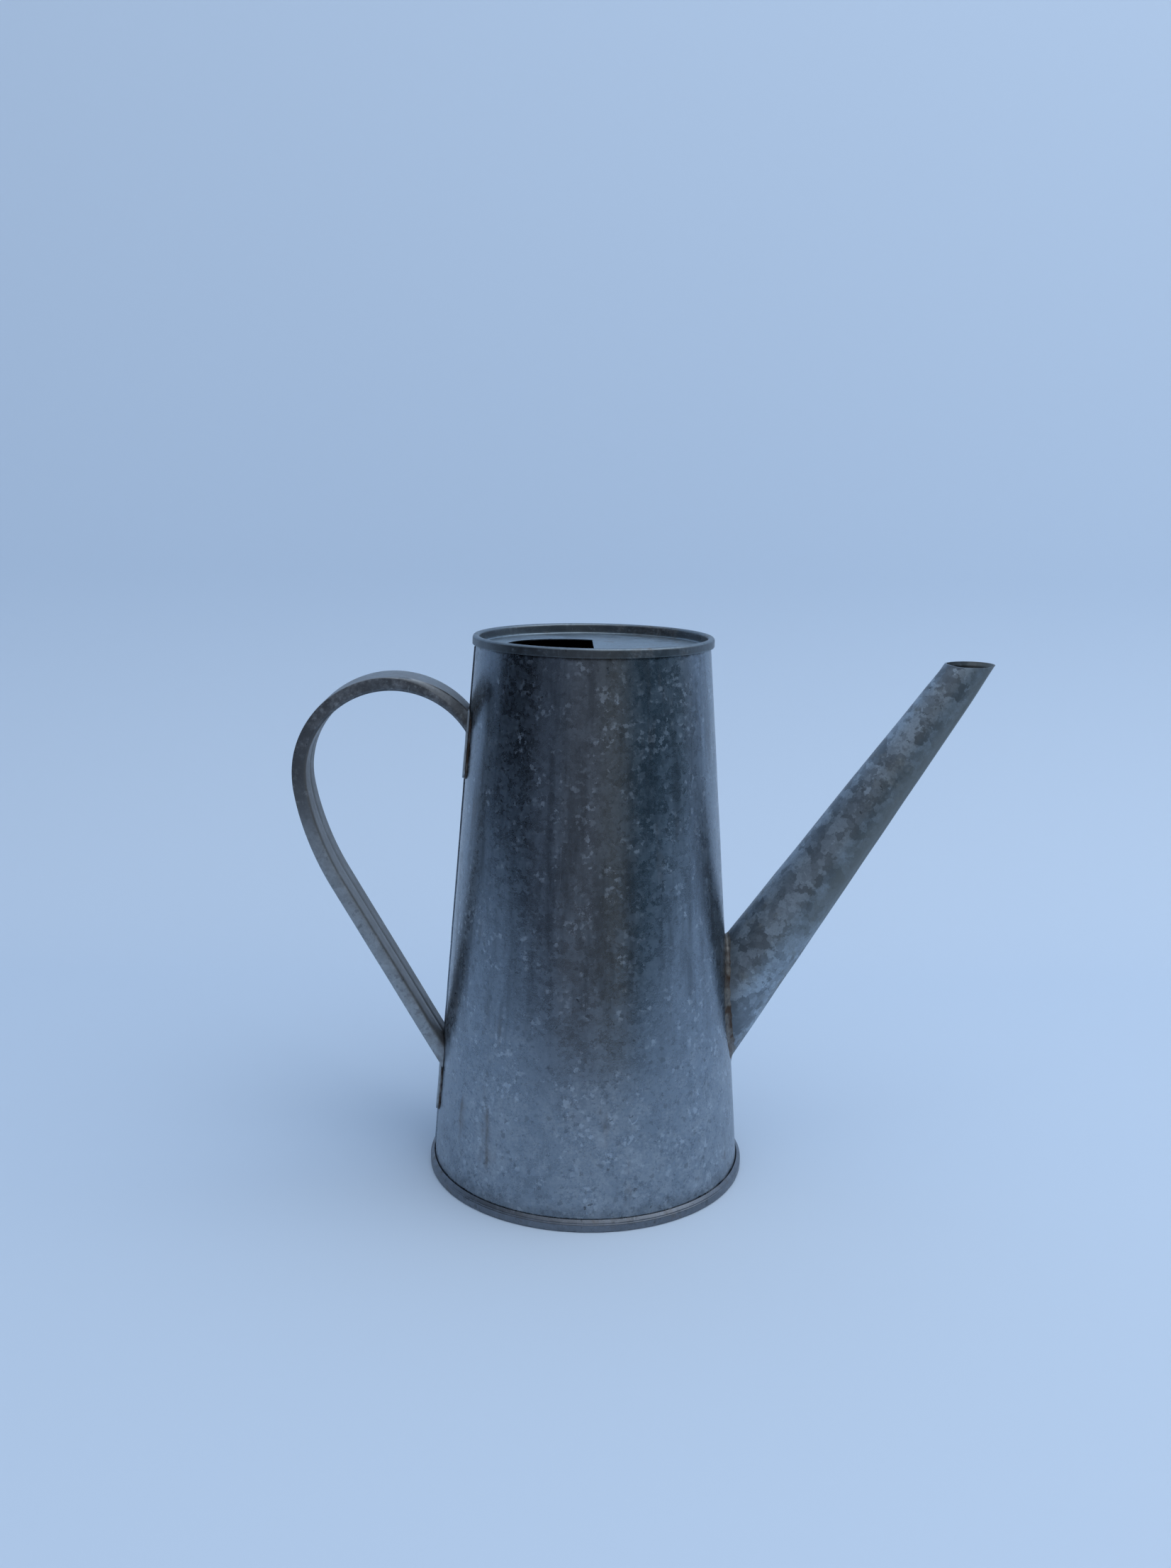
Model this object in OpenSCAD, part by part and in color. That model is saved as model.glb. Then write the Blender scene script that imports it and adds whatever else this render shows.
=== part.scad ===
// Galvanised watering can: a tapered sheet-metal body with a recessed half-open deck,
// a long straight spout and a strap handle. Millimetres, +Z up.
// The origin is on the body's axis, on the plane that the base stands on.
// The spout points along +X and the handle along -X.

/* [Body] */
// Height from the floor to the top of the rim
height = 265; // [250:1:280]
// Outer radius of the wall at the floor
base_r = 76.4; // [72:0.2:80]
// Outer radius of the wall at the rim
top_r = 55; // [52:0.2:58]
// Thickness of the galvanised sheet
sheet = 0.6; // [0.5:0.1:0.8]

/* [Folded seams] */
// Height of the folded seam at the rim
rim_fold = 4.2; // [3.5:0.1:5]
// Height of the folded seam at the base
base_fold = 5.6; // [4.6:0.1:6.5]
// How far the folded seams stand out from the wall
fold_out = 2; // [1.8:0.1:2.4]
// Width of the lock seam that runs up the back of the wall
lock_w = 6; // [5:0.5:8]
// How far the lock seam stands out from the wall
lock_out = 0.7; // [0.7:0.1:1.2]

/* [Deck and base] */
// Depth of the deck below the rim
deck_drop = 5; // [4:0.5:7]
// Radius of the round side of the filling hole
fill_r = 29; // [26:1:32]
// Distance from the body's axis to the centre of that round side
fill_shift = 13; // [11:1:15]
// Height of the base plate above the floor
base_lift = 3; // [2:0.5:4]

/* [Spout] */
// Angle of the spout's axis above the horizontal
spout_rise = 56.4; // [52:0.2:60]
// Distance from the body's axis to the spout's reference point
spout_x = 70; // [68:1:72]
// Height of the spout's reference point
spout_z = 88; // [80:0.5:92]
// Outer radius of the spout at its reference point
spout_r = 18.7; // [17:0.1:20]
// Loss of radius for each millimetre along the spout
spout_taper = 0.045; // [0.04:0.001:0.046]
// Height of the spout's level mouth
mouth_z = 253.3; // [245:0.1:260]

/* [Handle] */
// Width of the handle strap
strap_w = 25; // [22:1:28]
// Height of the strap's turned-down sides
strap_side = 6.7; // [5:0.1:8]
// Width of the lips turned in along those sides, which nearly close the handle's inner side
strap_lip = 12; // [2:0.5:12]
// Thickness of the strap
strap_t = 0.8; // [0.6:0.1:1]
// Radius of the handle's round top
bow_r = 47.5; // [45:0.5:50]
// Distance from the body's axis to the centre of the round top
bow_x = 94.2; // [92:0.2:96]
// Height of the centre of the round top
bow_z = 198; // [190:1:204]
// Radius of the handle's slow bend below the round top
bend_r = 140; // [120:5:160]
// Angle of the handle's straight leg from the vertical
leg_lean = 29.7; // [28:0.1:31]
// Length of the tab soldered to the wall at the top
tab_top = 32.5; // [28:0.5:38]
// Length of the tab soldered to the wall at the bottom
tab_low = 28; // [18:1:30]

/* [Solder] */
// Width of the solder fillets
solder = 2; // [1.5:0.1:2.5]

/* [Hidden] */
$fn = 240;
slack = 0.05;                                  // play between folded sheets
big = 400;                                     // larger than the whole can

function wall_r(z) = base_r - (base_r - top_r) * z / height;

deck_z = height - deck_drop;                   // top face of the deck
rim_r = top_r + fold_out;                      // outside of the rim's fold
foot_r = base_r + fold_out;                    // outside of the base's fold
deck_wall_r = wall_r(height) - sheet - slack;  // outside of the deck's upstand
base_wall_r = wall_r(base_fold) - sheet - slack;  // outside of the base plate's downstand
tab_off = lock_out + slack;                    // the tabs lie over the lock seam
bow_start = 152;                               // angle at which the bow starts, inside the wall
bow_steps = 48;                                // flats round the bow and the slow bend
bend_steps = 12;
bow_end = -10;                                 // angle at which it passes into the slow bend
bend_x = bow_x + (bow_r - bend_r) * cos(bow_end);   // centre of the slow bend
bend_z = bow_z + (bow_r - bend_r) * sin(bow_end);
leg_x = bend_x + bend_r * cos(leg_lean);       // where the straight leg starts
leg_z = bend_z - bend_r * sin(leg_lean);
leg_len = 125;                                 // runs on into the wall, and is cut there
// Height at which the bow's outer face meets the tab
bow_meet = bow_z + sqrt(pow(bow_r, 2) - pow(bow_x - wall_r(bow_z + 30) - tab_off, 2));
// Height of the lower tab's top edge, which is buried in the leg's web
leg_slope = tan(leg_lean);
wall_slope = (base_r - top_r) / height;
wall_lean = atan(wall_slope);
leg_bury = 3;
leg_meet = leg_bury
    + (base_r + tab_off - leg_x + leg_z * leg_slope) / (leg_slope + wall_slope);

// The body's outer cone, grown by off
module wall_cone(off) {
    cylinder(h = height, r1 = base_r + off, r2 = top_r + off);
}

// A layer of the wall's cone from off_in to off_out, between two heights
module wall_layer(off_in, off_out, z_low, z_high) {
    intersection() {
        difference() {
            wall_cone(off_out);
            wall_cone(off_in);
        }
        translate([-big, -big, z_low]) cube([2 * big, 2 * big, z_high - z_low]);
    }
}

// A strip of that layer, of the given width, on the handle's side
module back_strip(off_in, off_out, z_low, z_high, width) {
    intersection() {
        wall_layer(off_in, off_out, z_low, z_high);
        translate([-big, -width / 2, 0]) cube([big, width, height]);
    }
}

// The spout's cone, with its radius grown by off
module spout_cone(off, from = -40, to = 225) {
    translate([spout_x, 0, spout_z]) rotate([0, 90 - spout_rise, 0]) translate([0, 0, from])
        cylinder(h = to - from,
                 r1 = spout_r - spout_taper * from + off,
                 r2 = spout_r - spout_taper * to + off);
}

// The wrapped body sheet, hooked outwards at both ends, with its lock seam and spout hole
module body_shell() {
    hook_r = fold_out - sheet - slack;
    z0 = sheet + slack;
    z1 = base_fold - 0.4;
    z2 = height - rim_fold + 0.4;
    z3 = height - sheet - slack;
    color("slategray") difference() {
        union() {
            rotate_extrude() polygon([
                [wall_r(z0) - sheet, z0], [base_r + hook_r, z0],
                [base_r + hook_r, z1], [wall_r(z1), z1],
                [wall_r(z2), z2], [top_r + hook_r, z2],
                [top_r + hook_r, z3], [wall_r(z3) - sheet, z3]
            ]);
            back_strip(-sheet / 2, lock_out, base_fold + 0.5, height - rim_fold - 0.5, lock_w);
        }
        spout_cone(-sheet);
    }
}

// The half-open deck, with its upstand folded over the wall's top edge
module top_deck() {
    in_r = deck_wall_r - sheet;
    color("slategray") difference() {
        rotate_extrude() polygon([
            [0, deck_z - sheet], [deck_wall_r, deck_z - sheet],
            [deck_wall_r, height - sheet], [rim_r - sheet, height - sheet],
            [rim_r - sheet, height - rim_fold], [rim_r, height - rim_fold],
            [rim_r, height], [in_r, height], [in_r, deck_z], [0, deck_z]
        ]);
        translate([0, 0, deck_z - 2 * sheet]) linear_extrude(3 * sheet) intersection() {
            translate([-fill_shift, 0]) circle(r = fill_r);
            translate([-big, -big / 2]) square([big, big]);
        }
    }
}

// The raised base plate, with its downstand folded up round the wall's bottom edge
module base_plate() {
    in_r = base_wall_r - sheet;
    color("slategray") rotate_extrude() polygon([
        [0, base_lift], [in_r, base_lift], [in_r, 0], [foot_r, 0],
        [foot_r, base_fold], [foot_r - sheet, base_fold],
        [foot_r - sheet, sheet], [base_wall_r, sheet],
        [base_wall_r, base_lift + sheet], [0, base_lift + sheet]
    ]);
}

// The rolled spout, cut to the wall at its foot and level at its mouth
module spout_tube() {
    color("slategray") intersection() {
        difference() {
            spout_cone(0);
            spout_cone(-sheet, -41, 226);
            wall_cone(slack);
        }
        translate([0, -big, 0]) cube([big, 2 * big, mouth_z]);
    }
}

// The strap's outer face seen from the side, offset inwards by off: points [distance from
// the body's axis, height], along the bow, the slow bend and the leg
function strap_line(off) = concat(
    [for (i = [0 : bow_steps]) let (a = bow_start + (bow_end - bow_start) * i / bow_steps)
        [bow_x + (bow_r - off) * cos(a), bow_z + (bow_r - off) * sin(a)]],
    [for (i = [1 : bend_steps]) let (a = bow_end - (leg_lean + bow_end) * i / bend_steps)
        [bend_x + (bend_r - off) * cos(a), bend_z + (bend_r - off) * sin(a)]],
    [[leg_x - off * cos(leg_lean) - leg_len * sin(leg_lean),
      leg_z + off * sin(leg_lean) - leg_len * cos(leg_lean)]]
);

// The strip between two such lines, cut to the face that the tabs lie on
module strap_strip(off_out, off_in) {
    inner = strap_line(off_in);
    last = len(inner) - 1;
    difference() {
        polygon(concat(strap_line(off_out), [for (i = [0 : last]) inner[last - i]]));
        polygon([[-1, 0], [base_r + tab_off, 0], [top_r + tab_off, height], [-1, height]]);
    }
}

// A tab on the back of the wall, seen from the side
module tab_strip(z_low, z_high) {
    near_low = wall_r(z_low) + tab_off;
    near_high = wall_r(z_high) + tab_off;
    polygon([[near_low, z_low], [near_low + strap_t, z_low],
             [near_high + strap_t, z_high], [near_high, z_high]]);
}

// Stands a side view upright on the handle's side, between two distances across the can
module across(y_low, y_high) {
    translate([0, y_low, 0]) rotate([90, 0, 180]) linear_extrude(y_high - y_low) children();
}

// Puts a flat shape against the back of the wall: x along the wall's width, y upwards,
// extruded outwards from the face that the tabs lie on. The shape's origin is at height z.
module on_back(z, out, depth) {
    translate([-wall_r(z) - tab_off, 0, z]) rotate([0, wall_lean, 0])
        rotate([90, 0, -90]) translate([0, 0, out]) linear_extrude(depth) children();
}

// The strap handle: a flat web that ends in the tabs, with turned-down sides and lips
module handle_strap() {
    half = strap_w / 2;
    color("gray") union() {
        across(-half, half) union() {
            strap_strip(0, strap_t);
            tab_strip(bow_meet - tab_top, bow_meet);
            tab_strip(leg_meet - tab_low, leg_meet);
        }
        for (y = [-half, half - strap_t])
            across(y, y + strap_t) strap_strip(0, strap_side);
        for (y = [-half, half - strap_lip])
            across(y, y + strap_lip) strap_strip(strap_side - strap_t, strap_side);
    }
}

// The solder fillet round the foot of the spout
module spout_joint_solder() {
    color("darkgray") difference() {
        intersection() {
            spout_cone(solder);
            wall_cone(solder);
            translate([0, -big, 0]) cube([big, 2 * big, height]);
        }
        spout_cone(slack);
        wall_cone(slack);
    }
}

// Solder that fills the wedges between the round wall and a flat tab, on both sides of
// the lock seam, and runs out below the tab
module tab_solder(z, length) {
    full = strap_w - 2 * solder;
    gap = lock_w + 2 * slack;
    run = length + solder;
    color("darkgray") difference() {
        on_back(z, -2 * solder, 2 * solder - slack)
            for (x = [-full / 2, gap / 2]) translate([x, -run]) square([(full - gap) / 2, run]);
        wall_cone(slack);
    }
}

module upper_tab_solder() {
    tab_solder(bow_meet, tab_top);
}

module lower_tab_solder() {
    tab_solder(leg_meet, tab_low);
}

// The sealing bead along the inside of the lock seam
module side_seam_solder() {
    color("darkgray")
        back_strip(-sheet - 0.8, -sheet - slack, base_lift + sheet + 3, deck_z - sheet - 2, 5);
}

// The sealing fillet in the corner between the base plate and the wall
module base_seam_solder() {
    z0 = base_lift + sheet + slack;
    fillet = 2.2;
    edge_r = base_wall_r;
    color("darkgray") rotate_extrude() polygon([
        [edge_r - fillet, z0], [edge_r, z0],
        [wall_r(z0 + fillet) - sheet - slack, z0 + fillet]
    ]);
}

// The bead along the lap seam on the underside of the spout
module spout_seam_solder() {
    color("darkgray") intersection() {
        difference() {
            spout_cone(0.6);
            spout_cone(slack, -41, 226);
            wall_cone(solder + 2);
        }
        translate([spout_x, 0, spout_z]) rotate([0, 90 - spout_rise, 0])
            translate([0, -1.6, -40]) cube([30, 3.2, 265]);
        translate([0, -big, 0]) cube([big, 2 * big, mouth_z - 1.5]);
    }
}

body_shell();
top_deck();
base_plate();
spout_tube();
handle_strap();
spout_joint_solder();
upper_tab_solder();
lower_tab_solder();
side_seam_solder();
base_seam_solder();
spout_seam_solder();
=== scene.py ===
"""The looks of a galvanised watering can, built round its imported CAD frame.

Shapes are worked out in millimetres and turned into metres when a mesh is made.
The spout points along +X and the handle along -X, so the back of the wall is at -X.
"""
import bmesh
import bpy
import math
from functools import partial
from mathutils import Matrix, Vector, noise


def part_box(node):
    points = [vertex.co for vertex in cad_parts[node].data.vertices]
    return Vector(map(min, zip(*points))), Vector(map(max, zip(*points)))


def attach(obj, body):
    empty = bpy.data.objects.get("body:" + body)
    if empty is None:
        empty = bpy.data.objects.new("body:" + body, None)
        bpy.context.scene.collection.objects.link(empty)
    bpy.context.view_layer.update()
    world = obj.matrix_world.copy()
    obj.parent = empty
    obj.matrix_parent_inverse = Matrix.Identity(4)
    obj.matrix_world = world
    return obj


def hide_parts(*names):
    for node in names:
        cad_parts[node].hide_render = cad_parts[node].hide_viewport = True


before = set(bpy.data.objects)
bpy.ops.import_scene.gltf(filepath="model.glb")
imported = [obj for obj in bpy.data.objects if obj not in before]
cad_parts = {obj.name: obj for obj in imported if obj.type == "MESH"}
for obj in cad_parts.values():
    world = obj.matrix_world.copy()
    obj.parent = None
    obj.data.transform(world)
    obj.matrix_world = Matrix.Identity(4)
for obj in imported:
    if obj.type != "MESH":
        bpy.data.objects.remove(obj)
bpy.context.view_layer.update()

MM = 0.001

# ---------------------------------------------------------------- sizes, in millimetres

SHEET = 0.6                                        # thickness of the galvanised sheet
FOLD = 2.0                                         # how far a folded seam stands out
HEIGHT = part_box("top_deck")[1].z / MM              # top of the rim
RIM_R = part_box("top_deck")[1].x / MM               # outside of the rim
FOOT_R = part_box("base_plate")[1].x / MM            # outside of the foot
TOP_R = RIM_R - FOLD                               # outside of the wall, at the rim
BASE_R = FOOT_R - FOLD                             # outside of the wall, at the floor
BASE_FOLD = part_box("base_plate")[1].z / MM         # height of the foot's folded seam
RIM_FOLD = 4.2                                     # height of the rim's folded seam
DECK_Z = HEIGHT - 5.0                              # top face of the deck
PLATE_Z = 3.3                                      # middle of the base plate's sheet
LOCK_W = 6.0                                       # width of the lock seam up the back
LOCK_OUT = 0.7                                     # how far the lock seam stands out

FILL_R = 29.0                                      # round side of the filling hole
FILL_SHIFT = 13.0                                  # and how far its centre lies from the axis

SPOUT_RISE = math.radians(56.4)                    # the spout's axis above the horizontal
SPOUT_FOOT = Vector((70.0, 0.0, 88.0))             # a point on that axis, near the wall
SPOUT_R = 18.7                                     # outer radius there
SPOUT_TAPER = 0.045                                # loss of radius per millimetre
MOUTH_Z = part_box("spout_tube")[1].z / MM           # the spout's level mouth
TIP_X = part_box("spout_tube")[1].x / MM             # and its far lip

STRAP_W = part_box("handle_strap")[1].y / MM * 2     # width of the handle strap
STRAP_T = 0.8
STRAP_SIDE = 6.7                                   # depth of its turned-down sides
STRAP_LIP = 12.35                                  # width of the lips that close its inner side
BOW = Vector((94.2, 198.0))                        # centre of the handle's round top
BOW_R = 47.5
BOW_END = math.radians(-10)                        # where the round top becomes the slow bend
BEND_R = 140.0
LEG_LEAN = math.radians(29.7)                      # the straight leg, from the vertical
WALL_LEAN = math.atan((BASE_R - TOP_R) / HEIGHT)


# ---------------------------------------------------------------- mesh helpers

def wall_radius(z):
    """Outer radius of the tapered wall at height z."""
    return BASE_R - (BASE_R - TOP_R) * z / HEIGHT


def wobble(x, y, z, size, seed=0.0):
    """Smooth random value from about -1 to 1 that changes over the given size."""
    return noise.noise(Vector((x / size + seed, y / size - seed, z / size + 2 * seed)))


def smoothstep(low, high, value):
    t = min(max((value - low) / (high - low), 0.0), 1.0)
    return t * t * (3 - 2 * t)


def skin(rings, wrap=False):
    """Vertices and quads of the surface through successive closed rings of points.
    With wrap, the last ring joins the first one; without it, the ends are capped."""
    count, width = len(rings), len(rings[0])
    points = [p for ring in rings for p in ring]
    faces = []
    for i in range(count if wrap else count - 1):
        a, b = i * width, (i + 1) % count * width
        for j in range(width):
            k = (j + 1) % width
            faces.append((a + j, a + k, b + k, b + j))
    if not wrap:
        faces.append(tuple(reversed(range(width))))
        faces.append(tuple(range((count - 1) * width, count * width)))
    return points, faces


def make_piece(name, points, faces, sharp=40):
    """A smooth-shaded mesh object from points in millimetres, with its normals outwards."""
    mesh = bpy.data.meshes.new(name)
    mesh.from_pydata([Vector(p) * MM for p in points], [], faces)
    mesh.validate()
    bm = bmesh.new()
    bm.from_mesh(mesh)
    bmesh.ops.recalc_face_normals(bm, faces=bm.faces)
    bm.to_mesh(mesh)
    bm.free()
    mesh.shade_smooth()
    mesh.set_sharp_from_angle(angle=math.radians(sharp))
    piece = bpy.data.objects.new(name, mesh)
    bpy.context.scene.collection.objects.link(piece)
    return piece


def combine(piece, other, operation, sharp=40):
    """Cuts other out of piece, or joins it on, and removes other."""
    change = piece.modifiers.new("combine", "BOOLEAN")
    change.object = other
    change.operation = operation
    change.solver = "EXACT"
    ready = piece.evaluated_get(bpy.context.evaluated_depsgraph_get())
    mesh = bpy.data.meshes.new_from_object(ready)
    piece.modifiers.clear()
    piece.data = mesh
    mesh.shade_smooth()
    mesh.set_sharp_from_angle(angle=math.radians(sharp))
    bpy.data.objects.remove(other)
    return piece


def fillet(corners, radius, steps=5):
    """A line through the corners, with each inner corner rounded to the radius."""
    line = [Vector(corners[0])]
    for before, corner, after in zip(corners, corners[1:], corners[2:]):
        corner = Vector(corner)
        to_before = (Vector(before) - corner)
        to_after = (Vector(after) - corner)
        half = to_before.angle(to_after) / 2
        cut = min(radius / math.tan(half), to_before.length * 0.49, to_after.length * 0.49)
        start = corner + to_before.normalized() * cut
        end = corner + to_after.normalized() * cut
        for i in range(steps + 1):
            t = i / steps
            line.append(start.lerp(corner, t).lerp(corner.lerp(end, t), t))
    line.append(Vector(corners[-1]))
    return line


def thicken(line, thickness):
    """The closed outline of a sheet whose middle runs along the line."""
    left, right = [], []
    for i, point in enumerate(line):
        along = line[min(i + 1, len(line) - 1)] - line[max(i - 1, 0)]
        across = Vector((-along.y, along.x)).normalized() * thickness / 2
        left.append(point + across)
        right.append(point - across)
    return left + right[::-1]


def lathe(outline, turns, warp=None):
    """Rings of points for a closed (radius, height) outline turned about the can's axis."""
    rings = []
    for i in range(turns):
        a = 2 * math.pi * i / turns
        ring = []
        for r, z in outline:
            out = r + (warp(a, r, z) if warp else 0.0)
            ring.append(Vector((out * math.cos(a), out * math.sin(a), z)))
        rings.append(ring)
    return rings


# ---------------------------------------------------------------- wall

def hand_rolled(x, y, z):
    """Flats and hollows of up to 0.5 mm that rolling by hand leaves in the wall."""
    fade = smoothstep(4, 30, z) * smoothstep(HEIGHT - 3, HEIGHT - 25, z)
    flats = wobble(x, y, z * 0.25, 34, 3.1) * 0.26
    dents = wobble(x, y, z, 19, 8.4) * 0.08
    return fade * (flats + dents)


def make_wall():
    """The tapered wall, with the raised lock seam up its back and the hole for the spout."""
    turns, levels = 264, 96
    half, ramp, clear = LOCK_W / 2, 0.25, 1.6
    # evenly spaced round the wall, and closer together at the lock seam's two edges
    seam_edges = [s * d for s in (-1, 1) for d in (half - ramp, half, half - 1.2, half + 1.0)]
    angles = [2 * math.pi * i / turns for i in range(turns)]
    angles = [a for a in angles if abs(a - math.pi) * BASE_R > half + clear]
    angles += [math.pi + e / BASE_R for e in seam_edges] + [math.pi]
    angles.sort()
    z_low, z_high = SHEET + 0.1, HEIGHT - SHEET - 0.2
    heights = [z_low + (z_high - z_low) * i / levels for i in range(levels + 1)]
    rings = []
    for a in angles:
        outer, inner = [], []
        off_seam = abs(a - math.pi) * BASE_R
        for z in heights:
            r = wall_radius(z)
            x, y = r * math.cos(a), r * math.sin(a)
            r += hand_rolled(x, y, z)
            seam_on = smoothstep(BASE_FOLD, BASE_FOLD + 2, z) * smoothstep(HEIGHT - 4, HEIGHT - 6, z)
            crest = LOCK_OUT * (1 - smoothstep(half - ramp, half, off_seam)) * seam_on
            crest *= 1 + 0.12 * wobble(0, 0, z, 9, 5.0)
            outer.append(Vector(((r + crest) * math.cos(a), (r + crest) * math.sin(a), z)))
            r -= SHEET
            inner.append(Vector((r * math.cos(a), r * math.sin(a), z)))
        rings.append(outer + inner[::-1])
    wall = make_piece("wall", *skin(rings, wrap=True), sharp=35)
    hole = [spout_ring(t, -SHEET) for t in (-32, 40)]
    cutter = make_piece("spout_hole", *skin(hole))
    return combine(wall, cutter, "DIFFERENCE", sharp=35)


# ---------------------------------------------------------------- deck and rim, base and foot

def fill_outline(count):
    """Points round the half-open deck's filling hole, with both corners kept."""
    corner = math.sqrt(FILL_R ** 2 - FILL_SHIFT ** 2)
    swing = math.atan2(corner, FILL_SHIFT)
    straight = count // 4
    rounded = count - straight
    points = [Vector((0, corner * (2 * i / straight - 1))) for i in range(straight)]
    for i in range(rounded):
        a = swing + (2 * math.pi - 2 * swing) * i / rounded
        points.append(Vector((FILL_R * math.cos(a) - FILL_SHIFT, FILL_R * math.sin(a))))
    return points


def make_deck():
    """The half-open deck, snipped out for the filling hole. At the wall it turns up and folds
    over the wall's top edge, which makes the rim."""
    middle = Vector((-19.0, 0.0))                    # inside the hole: the sheet spreads from here
    z = DECK_Z - SHEET / 2
    upstand_r = wall_radius(HEIGHT) - SHEET * 1.5 - 0.05
    band_r = RIM_R - SHEET / 2
    rise = fillet([(upstand_r - 6, z), (upstand_r, z), (upstand_r, HEIGHT - 0.3),
                   (band_r, HEIGHT - 0.3), (band_r, HEIGHT - RIM_FOLD)], 1.25, steps=6)
    flat_end = rise[0].x
    rings = []
    for edge in fill_outline(240):
        heading = (edge - middle).normalized()
        # where the line from the middle through the hole's edge reaches the upstand's foot
        b = middle.dot(heading)
        reach = -b + math.sqrt(b * b - middle.length_squared + flat_end ** 2)
        foot = middle + heading * reach
        turn = foot.normalized()
        span = (foot - edge).length
        start = min(3.5, span * 0.5)
        cut_edge = [Vector((0.05, z - 0.2)), Vector((0.5, z - 0.04)), Vector((start, z))]
        line = cut_edge + [Vector((start + (span - start) * i / 7, z)) for i in range(1, 7)]
        line += [Vector((span + p.x - flat_end, p.y)) for p in rise]
        outline = thicken(line, SHEET)
        ring = []
        for i, (s, height) in enumerate(outline):
            if s <= span:
                spot = edge + heading * s
            else:
                spot = turn * (flat_end + s - span)
            radius = spot.length
            sag = 0.35 * wobble(spot.x, spot.y, 0, 21, 1.7)
            sag *= smoothstep(upstand_r, upstand_r - 9, radius)
            hammered = 0.14 * wobble(spot.x, spot.y, height, 8, 6.2)
            hammered *= smoothstep(upstand_r - 2, upstand_r, radius)
            spot = spot * (1 + hammered / max(radius, 20))
            ring.append(Vector((spot.x, spot.y, height + sag)))
        rings.append(ring)
    return make_piece("deck_and_rim", *skin(rings, wrap=True), sharp=50)


def make_base():
    """The raised base plate. It turns down to the floor and folds up round the wall's
    bottom edge, which makes the foot."""
    drop_r = wall_radius(BASE_FOLD) - SHEET * 1.5 - 0.05
    band_r = FOOT_R - SHEET / 2
    step_z = BASE_FOLD * 0.64                        # a crease runs round the fold at this height
    corners = [(0.02, PLATE_Z), (40, PLATE_Z), (drop_r, PLATE_Z), (drop_r, 0.3), (band_r, 0.3),
               (band_r, step_z), (band_r - 0.45, step_z + 0.22), (band_r - 0.4, step_z + 0.6),
               (band_r - 1.7, BASE_FOLD - 0.3)]
    outline = thicken(fillet(corners, 0.5), SHEET)

    def hammered(a, r, z):
        if r < drop_r - 2 or z > BASE_FOLD + 1:
            return 0.0
        x, y = r * math.cos(a), r * math.sin(a)
        return -0.16 * abs(wobble(x, y, z * 0.5, 9, 4.4))

    return make_piece("base_and_foot", *skin(lathe(outline, 288, hammered), wrap=True), sharp=50)


# ---------------------------------------------------------------- spout

SPOUT_AXIS = Vector((math.cos(SPOUT_RISE), 0, math.sin(SPOUT_RISE)))
SPOUT_UP = Vector((-math.sin(SPOUT_RISE), 0, math.cos(SPOUT_RISE)))
SPOUT_SIDE = Vector((0, 1, 0))


def spout_point(t, angle, off=0.0):
    """Point on the spout's cone, t along its axis; angle 0 is its upper side."""
    r = SPOUT_R - SPOUT_TAPER * t + off
    return SPOUT_FOOT + SPOUT_AXIS * t + (SPOUT_UP * math.cos(angle) + SPOUT_SIDE * math.sin(angle)) * r


def spout_ring(t, off, count=96):
    return [spout_point(t, 2 * math.pi * i / count, off) for i in range(count)]


def spout_meets_wall(angle, off, wall_off):
    """How far along the axis a line of the spout's cone leaves the wall."""
    low, high = -30.0, 60.0
    for _ in range(40):
        t = (low + high) / 2
        p = spout_point(t, angle, off)
        if math.hypot(p.x, p.y) < wall_radius(p.z) + wall_off:
            low = t
        else:
            high = t
    return low


def spout_meets_mouth(angle, off):
    r_fall = SPOUT_AXIS.z - SPOUT_TAPER * SPOUT_UP.z * math.cos(angle)
    return (MOUTH_Z - SPOUT_FOOT.z - (SPOUT_R + off) * SPOUT_UP.z * math.cos(angle)) / r_fall


def crushed(p, share):
    """The knocks near the mouth: the near side is pressed flat and the far side has a corner."""
    near_mouth = smoothstep(0.80, 1.0, share)
    mouth_r = 10.0
    side = p.y / mouth_r
    push = Vector((0, 0, 0))
    if p.y < 0:
        push.y = near_mouth * 1.1 * smoothstep(0.2, 1.0, -side)
        push.z = -0.8 * smoothstep(0.96, 1.0, share) * smoothstep(0.2, 0.9, -side)
    else:
        middle = SPOUT_FOOT + SPOUT_AXIS * (p - SPOUT_FOOT).dot(SPOUT_AXIS)
        ahead = (p - middle).x
        push.y = near_mouth * (0.4 - 0.1 * abs(ahead - 4)) + 1.3 * smoothstep(0.97, 1.0, share)
    return p + push


def make_spout():
    """The rolled, tapered spout with its lap seam underneath, cut to the wall at its foot and
    level at its mouth."""
    count, lengths = 120, 84
    lap_angle, lap_w, lap_edge = math.pi, 5.0, 0.35
    angles = [2 * math.pi * i / count for i in range(count)]
    rings = []
    for a in angles:
        outer, inner = [], []
        for off, line in ((0.0, outer), (-SHEET, inner)):
            t0 = spout_meets_wall(a, off, -0.25)
            t1 = spout_meets_mouth(a, off)
            for i in range(lengths + 1):
                share = i / lengths
                t = t0 + (t1 - t0) * share
                p = spout_point(t, a, off)
                across = (a - lap_angle) * (SPOUT_R - SPOUT_TAPER * t)
                lap = smoothstep(0, lap_edge, across) * (1 - smoothstep(lap_w, lap_w + 4, across))
                bulge = 0.5 * lap * (1 - smoothstep(0.9, 1, share)) if off == 0.0 else 0.0
                bulge += 0.16 * wobble(p.x, p.y, p.z, 22, 7.7) * smoothstep(0, 0.08, share)
                p += (p - SPOUT_FOOT - SPOUT_AXIS * t).normalized() * bulge
                p = crushed(p, share)
                p.x, p.z = min(p.x, TIP_X), min(p.z, MOUTH_Z)
                line.append(p)
        rings.append(outer + inner[::-1])
    return make_piece("spout", *skin(rings, wrap=True), sharp=45)


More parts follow.
